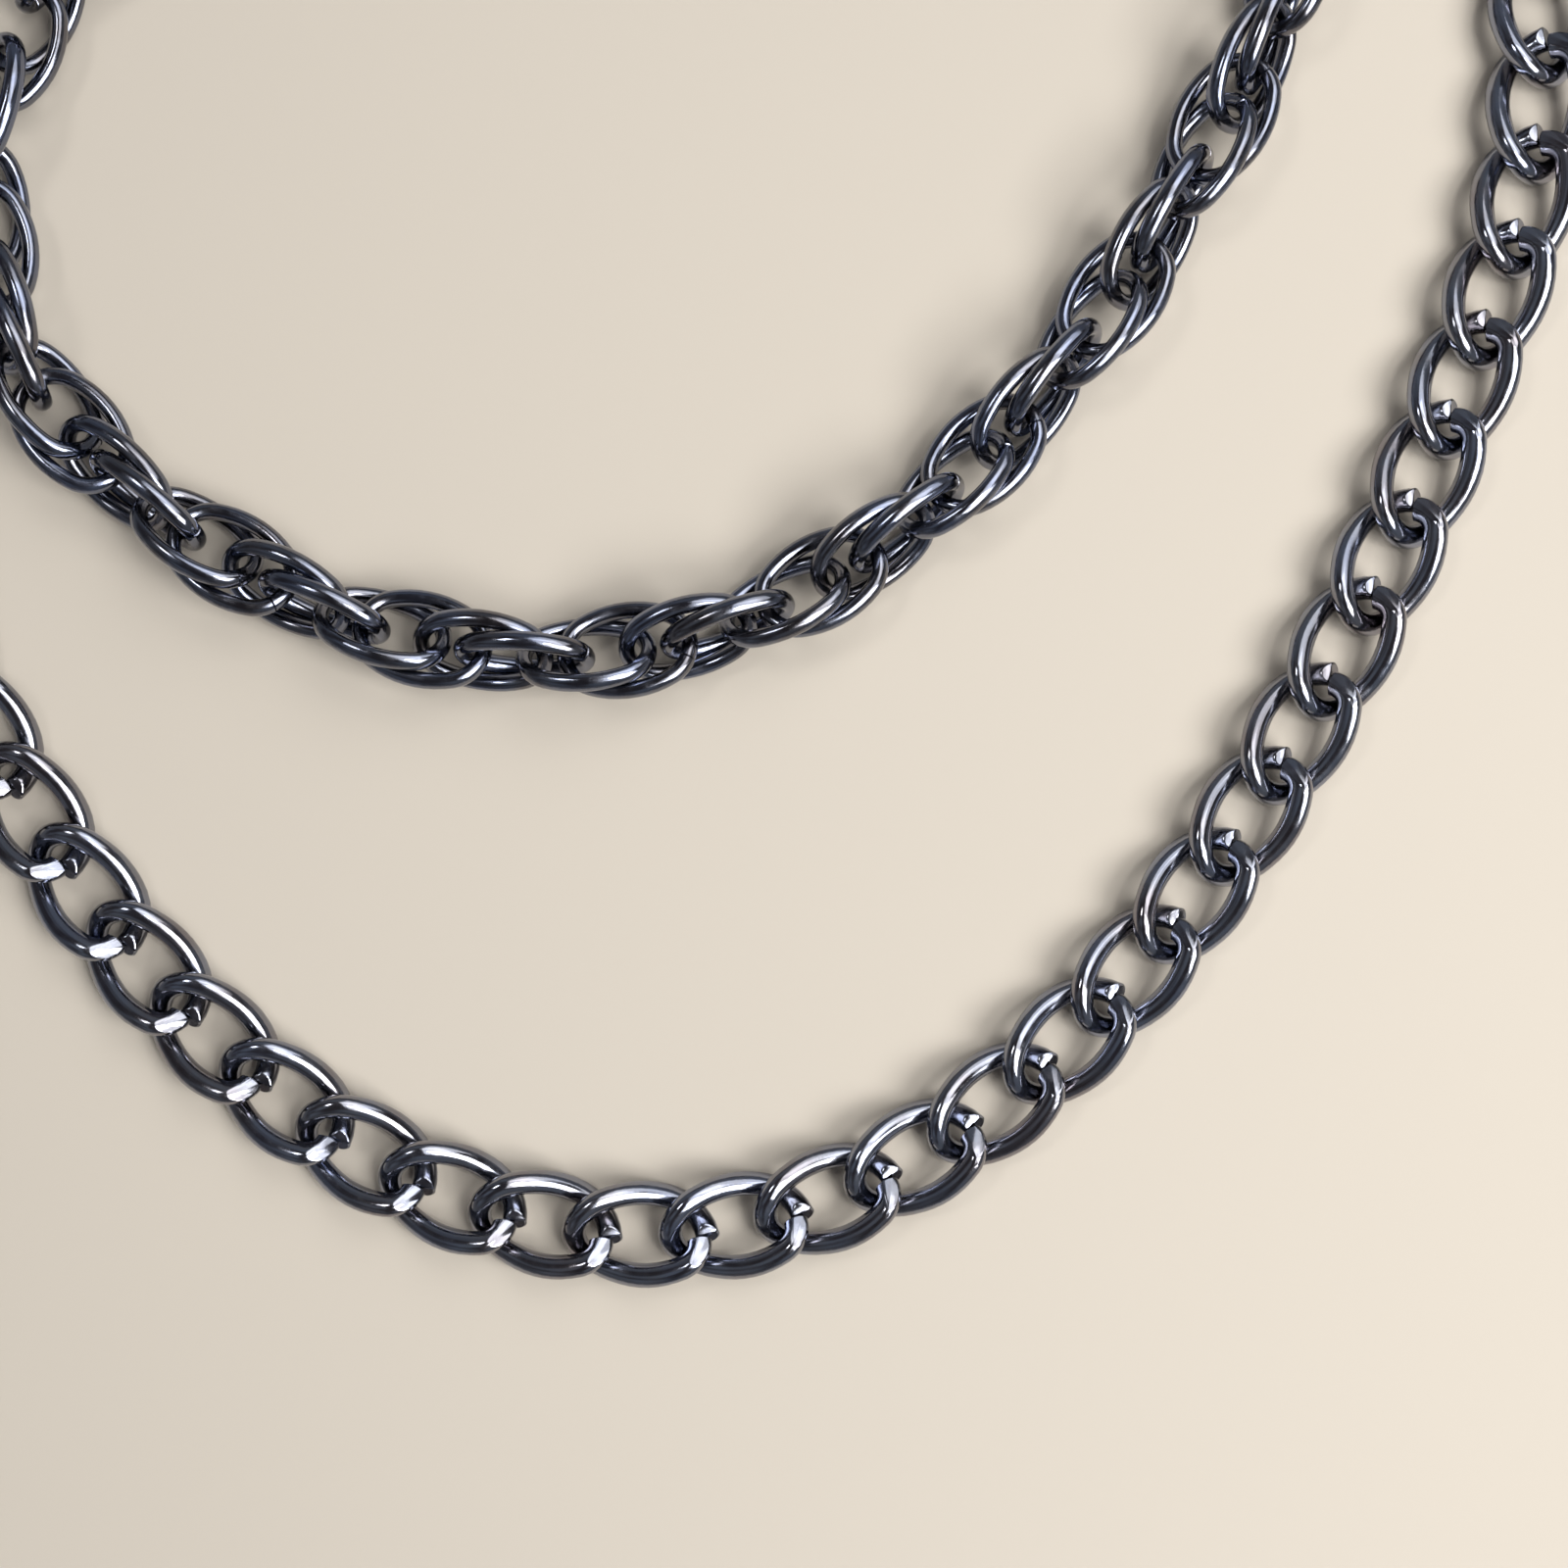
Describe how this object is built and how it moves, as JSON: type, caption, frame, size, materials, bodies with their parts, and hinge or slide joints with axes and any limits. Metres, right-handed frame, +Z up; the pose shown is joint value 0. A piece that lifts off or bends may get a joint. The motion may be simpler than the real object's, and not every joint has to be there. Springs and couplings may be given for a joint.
{
  "type": "chain necklace",
  "caption": "Layered chain necklace: a loose rope chain inside a heavy curb chain, both from one join ring with a lobster clasp, laid open.",
  "frame": {"origin": "on the table under the middle of the necklace as it lies open", "axes": "+Z up from the table; +X to the right along the front; +Y from the front towards the clasp"},
  "size_m": [0.1934, 0.1992, 0.0089],
  "materials": {
    "rope_gunmetal": "polished dark gunmetal plate",
    "curb_gunmetal": "polished dark gunmetal plate, ground flat on the faces",
    "ring_gunmetal": "polished dark gunmetal plate",
    "clasp_gunmetal": "cast, dark gunmetal plate",
    "lever_gunmetal": "stamped, dark gunmetal plate",
    "spring_steel": "plain spring wire"
  },
  "bodies": {
    "join_ring": {"join_ring": "ring_gunmetal"},
    "curb_start_ring": {"curb_start_ring": "ring_gunmetal"},
    "curb_run_01": {"curb_run_01": "curb_gunmetal"},
    "curb_run_02": {"curb_run_02": "curb_gunmetal"},
    "curb_run_03": {"curb_run_03": "curb_gunmetal"},
    "curb_run_04": {"curb_run_04": "curb_gunmetal"},
    "curb_run_05": {"curb_run_05": "curb_gunmetal"},
    "curb_run_06": {"curb_run_06": "curb_gunmetal"},
    "curb_run_07": {"curb_run_07": "curb_gunmetal"},
    "curb_run_08": {"curb_run_08": "curb_gunmetal"},
    "curb_run_09": {"curb_run_09": "curb_gunmetal"},
    "curb_run_10": {"curb_run_10": "curb_gunmetal"},
    "curb_run_11": {"curb_run_11": "curb_gunmetal"},
    "curb_run_12": {"curb_run_12": "curb_gunmetal"},
    "curb_run_13": {"curb_run_13": "curb_gunmetal"},
    "curb_run_14": {"curb_run_14": "curb_gunmetal"},
    "curb_run_15": {"curb_run_15": "curb_gunmetal"},
    "curb_run_16": {"curb_run_16": "curb_gunmetal"},
    "curb_run_17": {"curb_run_17": "curb_gunmetal"},
    "curb_run_18": {"curb_run_18": "curb_gunmetal"},
    "curb_run_19": {"curb_run_19": "curb_gunmetal"},
    "curb_run_20": {"curb_run_20": "curb_gunmetal"},
    "curb_run_21": {"curb_run_21": "curb_gunmetal"},
    "curb_run_22": {"curb_run_22": "curb_gunmetal"},
    "curb_run_23": {"curb_run_23": "curb_gunmetal"},
    "curb_run_24": {"curb_run_24": "curb_gunmetal"},
    "curb_run_25": {"curb_run_25": "curb_gunmetal"},
    "curb_run_26": {"curb_run_26": "curb_gunmetal"},
    "curb_end_ring": {"curb_end_ring": "ring_gunmetal"},
    "rope_start_ring": {"rope_start_ring": "ring_gunmetal"},
    "rope_run_01": {"rope_run_01": "rope_gunmetal"},
    "rope_run_02": {"rope_run_02": "rope_gunmetal"},
    "rope_run_03": {"rope_run_03": "rope_gunmetal"},
    "rope_run_04": {"rope_run_04": "rope_gunmetal"},
    "rope_run_05": {"rope_run_05": "rope_gunmetal"},
    "rope_run_06": {"rope_run_06": "rope_gunmetal"},
    "rope_run_07": {"rope_run_07": "rope_gunmetal"},
    "rope_run_08": {"rope_run_08": "rope_gunmetal"},
    "rope_run_09": {"rope_run_09": "rope_gunmetal"},
    "rope_run_10": {"rope_run_10": "rope_gunmetal"},
    "rope_run_11": {"rope_run_11": "rope_gunmetal"},
    "rope_run_12": {"rope_run_12": "rope_gunmetal"},
    "rope_run_13": {"rope_run_13": "rope_gunmetal"},
    "rope_run_14": {"rope_run_14": "rope_gunmetal"},
    "rope_run_15": {"rope_run_15": "rope_gunmetal"},
    "rope_run_16": {"rope_run_16": "rope_gunmetal"},
    "rope_end_ring": {"rope_end_ring": "ring_gunmetal"},
    "clasp_ring": {"clasp_ring": "ring_gunmetal"},
    "clasp_body": {"clasp_body": "clasp_gunmetal", "clasp_rivet": "ring_gunmetal", "clasp_spring": "spring_steel"},
    "clasp_lever": {"clasp_lever": "lever_gunmetal"}
  },
  "joints": [
    {"name": "curb_start_ring_swing", "type": "hinge", "parent": "join_ring", "child": "curb_start_ring", "pos_m": [-0.00477, 0.09299, 0.00411], "axis": [-0.2655, -0.9641, 0], "range_deg": [-15, 15]},
    {"name": "curb_run_01_hinge", "type": "hinge", "parent": "curb_start_ring", "child": "curb_run_01", "pos_m": [-0.00764, 0.09335, 0.00376], "axis": [0.1601, 0.9871, 0], "range_deg": [-22, 22]},
    {"name": "curb_run_02_hinge", "type": "hinge", "parent": "curb_run_01", "child": "curb_run_02", "pos_m": [-0.02963, 0.09352, 0.00296], "axis": [0.1443, -0.9895, 0], "range_deg": [-22, 22]},
    {"name": "curb_run_03_hinge", "type": "hinge", "parent": "curb_run_02", "child": "curb_run_03", "pos_m": [-0.0485, 0.08807, 0.0025], "axis": [-0.4056, 0.9141, 0], "range_deg": [-22, 22]},
    {"name": "curb_run_04_hinge", "type": "hinge", "parent": "curb_run_03", "child": "curb_run_04", "pos_m": [-0.0652, 0.07774, 0.00226], "axis": [0.6368, -0.771, 0], "range_deg": [-22, 22]},
    {"name": "curb_run_05_hinge", "type": "hinge", "parent": "curb_run_04", "child": "curb_run_05", "pos_m": [-0.0785, 0.06329, 0.00222], "axis": [-0.821, 0.5709, 0], "range_deg": [-22, 22]},
    {"name": "curb_run_06_hinge", "type": "hinge", "parent": "curb_run_05", "child": "curb_run_06", "pos_m": [-0.08741, 0.04579, 0.00222], "axis": [0.9445, -0.3286, 0], "range_deg": [-22, 22]},
    {"name": "curb_run_07_hinge", "type": "hinge", "parent": "curb_run_06", "child": "curb_run_07", "pos_m": [-0.09129, 0.02654, 0.00222], "axis": [-0.9981, 0.062, 0], "range_deg": [-22, 22]},
    {"name": "curb_run_08_hinge", "type": "hinge", "parent": "curb_run_07", "child": "curb_run_08", "pos_m": [-0.08983, 0.00696, 0.00222], "axis": [0.9779, 0.2092, 0], "range_deg": [-22, 22]},
    {"name": "curb_run_09_hinge", "type": "hinge", "parent": "curb_run_08", "child": "curb_run_09", "pos_m": [-0.08346, -0.01165, 0.00222], "axis": [-0.9224, -0.3862, 0], "range_deg": [-22, 22]},
    {"name": "curb_run_10_hinge", "type": "hinge", "parent": "curb_run_09", "child": "curb_run_10", "pos_m": [-0.07529, -0.02957, 0.00222], "axis": [0.8953, 0.4456, 0], "range_deg": [-22, 22]},
    {"name": "curb_run_11_hinge", "type": "hinge", "parent": "curb_run_10", "child": "curb_run_11", "pos_m": [-0.06579, -0.04682, 0.00222], "axis": [-0.8524, -0.5228, 0], "range_deg": [-22, 22]},
    {"name": "curb_run_12_hinge", "type": "hinge", "parent": "curb_run_11", "child": "curb_run_12", "pos_m": [-0.05453, -0.06298, 0.00222], "axis": [0.7812, 0.6243, 0], "range_deg": [-22, 22]},
    {"name": "curb_run_13_hinge", "type": "hinge", "parent": "curb_run_12", "child": "curb_run_13", "pos_m": [-0.041, -0.07726, 0.00222], "axis": [-0.6574, -0.7535, 0], "range_deg": [-22, 22]},
    {"name": "curb_run_14_hinge", "type": "hinge", "parent": "curb_run_13", "child": "curb_run_14", "pos_m": [-0.02474, -0.08828, 0.00222], "axis": [0.4426, 0.8967, 0], "range_deg": [-22, 22]},
    {"name": "curb_run_15_hinge", "type": "hinge", "parent": "curb_run_14", "child": "curb_run_15", "pos_m": [-0.00597, -0.09393, 0.00222], "axis": [-0.1138, -0.9935, 0], "range_deg": [-22, 22]},
    {"name": "curb_run_16_hinge", "type": "hinge", "parent": "curb_run_15", "child": "curb_run_16", "pos_m": [0.01355, -0.09241, 0.00222], "axis": [-0.2651, 0.9642, 0], "range_deg": [-22, 22]},
    {"name": "curb_run_17_hinge", "type": "hinge", "parent": "curb_run_16", "child": "curb_run_17", "pos_m": [0.03132, -0.08411, 0.00222], "axis": [0.5561, -0.8311, 0], "range_deg": [-22, 22]},
    {"name": "curb_run_18_hinge", "type": "hinge", "parent": "curb_run_17", "child": "curb_run_18", "pos_m": [0.04623, -0.07129, 0.00222], "axis": [-0.7284, 0.6852, 0], "range_deg": [-22, 22]},
    {"name": "curb_run_19_hinge", "type": "hinge", "parent": "curb_run_18", "child": "curb_run_19", "pos_m": [0.0585, -0.05591, 0.00222], "axis": [0.8245, -0.5658, 0], "range_deg": [-22, 22]},
    {"name": "curb_run_20_hinge", "type": "hinge", "parent": "curb_run_19", "child": "curb_run_20", "pos_m": [0.06871, -0.03907, 0.00222], "axis": [-0.8798, 0.4753, 0], "range_deg": [-22, 22]},
    {"name": "curb_run_21_hinge", "type": "hinge", "parent": "curb_run_20", "child": "curb_run_21", "pos_m": [0.07737, -0.02138, 0.00222], "axis": [0.9135, -0.4068, 0], "range_deg": [-22, 22]},
    {"name": "curb_run_22_hinge", "type": "hinge", "parent": "curb_run_21", "child": "curb_run_22", "pos_m": [0.08485, -0.00316, 0.00222], "axis": [-0.9351, 0.3543, 0], "range_deg": [-22, 22]},
    {"name": "curb_run_23_hinge", "type": "hinge", "parent": "curb_run_22", "child": "curb_run_23", "pos_m": [0.09035, 0.01571, 0.00222], "axis": [0.9865, -0.1639, 0], "range_deg": [-22, 22]},
    {"name": "curb_run_24_hinge", "type": "hinge", "parent": "curb_run_23", "child": "curb_run_24", "pos_m": [0.09109, 0.03535, 0.00222], "axis": [-0.996, -0.0893, 0], "range_deg": [-22, 22]},
    {"name": "curb_run_25_hinge", "type": "hinge", "parent": "curb_run_24", "child": "curb_run_25", "pos_m": [0.08687, 0.05454, 0.00222], "axis": [0.9416, 0.3368, 0], "range_deg": [-22, 22]},
    {"name": "curb_run_26_hinge", "type": "hinge", "parent": "curb_run_25", "child": "curb_run_26", "pos_m": [0.07796, 0.07205, 0.00222], "axis": [-0.8267, -0.5626, 0], "range_deg": [-22, 22]},
    {"name": "curb_end_ring_swing", "type": "hinge", "parent": "curb_run_26", "child": "curb_end_ring", "pos_m": [0.06504, 0.08686, 0.00222], "axis": [0.7033, 0.7108, 0], "range_deg": [-30, 30]},
    {"name": "rope_start_ring_swing", "type": "hinge", "parent": "join_ring", "child": "rope_start_ring", "pos_m": [-0.00361, 0.08829, 0.00394], "axis": [0.6876, -0.7261, 0], "range_deg": [-12, 12]},
    {"name": "rope_run_01_hinge", "type": "hinge", "parent": "rope_start_ring", "child": "rope_run_01", "pos_m": [-0.0055, 0.08651, 0.00446], "axis": [-0.6876, 0.7261, 0], "range_deg": [-12, 12]},
    {"name": "rope_run_02_hinge", "type": "hinge", "parent": "rope_run_01", "child": "rope_run_02", "pos_m": [-0.0234, 0.06955, 0.00446], "axis": [0.6876, -0.7261, 0], "range_deg": [-12, 12]},
    {"name": "rope_run_03_hinge", "type": "hinge", "parent": "rope_run_02", "child": "rope_run_03", "pos_m": [-0.03858, 0.05518, 0.00446], "axis": [-0.6876, 0.7261, 0], "range_deg": [-12, 12]},
    {"name": "rope_run_04_hinge", "type": "hinge", "parent": "rope_run_03", "child": "rope_run_04", "pos_m": [-0.05375, 0.0408, 0.00446], "axis": [0.6876, -0.7261, 0], "range_deg": [-12, 12]},
    {"name": "rope_run_05_hinge", "type": "hinge", "parent": "rope_run_04", "child": "rope_run_05", "pos_m": [-0.06531, 0.02369, 0.00446], "axis": [-0.9497, 0.3132, 0], "range_deg": [-12, 12]},
    {"name": "rope_run_06_hinge", "type": "hinge", "parent": "rope_run_05", "child": "rope_run_06", "pos_m": [-0.06612, 0.00308, 0.00446], "axis": [0.9715, 0.2369, 0], "range_deg": [-12, 12]},
    {"name": "rope_run_07_hinge", "type": "hinge", "parent": "rope_run_06", "child": "rope_run_07", "pos_m": [-0.05591, -0.01484, 0.00446], "axis": [-0.6988, -0.7153, 0], "range_deg": [-12, 12]},
    {"name": "rope_run_08_hinge", "type": "hinge", "parent": "rope_run_07", "child": "rope_run_08", "pos_m": [-0.03909, -0.02716, 0.00446], "axis": [0.4836, 0.8753, 0], "range_deg": [-12, 12]},
    {"name": "rope_run_09_hinge", "type": "hinge", "parent": "rope_run_08", "child": "rope_run_09", "pos_m": [-0.01954, -0.03431, 0.00446], "axis": [-0.1826, -0.9832, 0], "range_deg": [-12, 12]},
    {"name": "rope_run_10_hinge", "type": "hinge", "parent": "rope_run_09", "child": "rope_run_10", "pos_m": [0.00122, -0.03421, 0.00446], "axis": [-0.2061, 0.9785, 0], "range_deg": [-12, 12]},
    {"name": "rope_run_11_hinge", "type": "hinge", "parent": "rope_run_10", "child": "rope_run_11", "pos_m": [0.0204, -0.02618, 0.00446], "axis": [0.5374, -0.8433, 0], "range_deg": [-12, 12]},
    {"name": "rope_run_12_hinge", "type": "hinge", "parent": "rope_run_11", "child": "rope_run_12", "pos_m": [0.03633, -0.01274, 0.00446], "axis": [-0.7287, 0.6849, 0], "range_deg": [-12, 12]},
    {"name": "rope_run_13_hinge", "type": "hinge", "parent": "rope_run_12", "child": "rope_run_13", "pos_m": [0.04925, 0.00366, 0.00446], "axis": [0.8304, -0.5571, 0], "range_deg": [-12, 12]},
    {"name": "rope_run_14_hinge", "type": "hinge", "parent": "rope_run_13", "child": "rope_run_14", "pos_m": [0.05985, 0.02166, 0.00446], "axis": [-0.8866, 0.4625, 0], "range_deg": [-12, 12]},
    {"name": "rope_run_15_hinge", "type": "hinge", "parent": "rope_run_14", "child": "rope_run_15", "pos_m": [0.0659, 0.04139, 0.00446], "axis": [0.9999, 0.014, 0], "range_deg": [-12, 12]},
    {"name": "rope_run_16_hinge", "type": "hinge", "parent": "rope_run_15", "child": "rope_run_16", "pos_m": [0.05879, 0.06062, 0.00446], "axis": [-0.7688, -0.6395, 0], "range_deg": [-12, 12]},
    {"name": "rope_end_ring_swing", "type": "hinge", "parent": "rope_run_16", "child": "rope_end_ring", "pos_m": [0.0392, 0.07184, 0.00446], "axis": [0.2881, 0.9576, 0], "range_deg": [-25, 25]},
    {"name": "clasp_ring_swing", "type": "hinge", "parent": "join_ring", "child": "clasp_ring", "pos_m": [0.00489, 0.09203, 0.00411], "axis": [-0.0698, 0.9976, 0], "range_deg": [-20, 20]},
    {"name": "clasp_swing", "type": "hinge", "parent": "clasp_ring", "child": "clasp_body", "pos_m": [0.00949, 0.09235, 0.00424], "axis": [0.0698, -0.9976, 0], "range_deg": [-12, 8]},
    {"name": "clasp_lever_pivot", "type": "hinge", "parent": "clasp_body", "child": "clasp_lever", "pos_m": [0.01352, 0.09113, 0.00358], "axis": [0.1651, 0.0115, 0.9862], "range_deg": [0, 24], "stiffness_Nm_per_rad": 0.004, "springref_deg": -5.73, "deforming": ["clasp_spring"]}
  ]
}
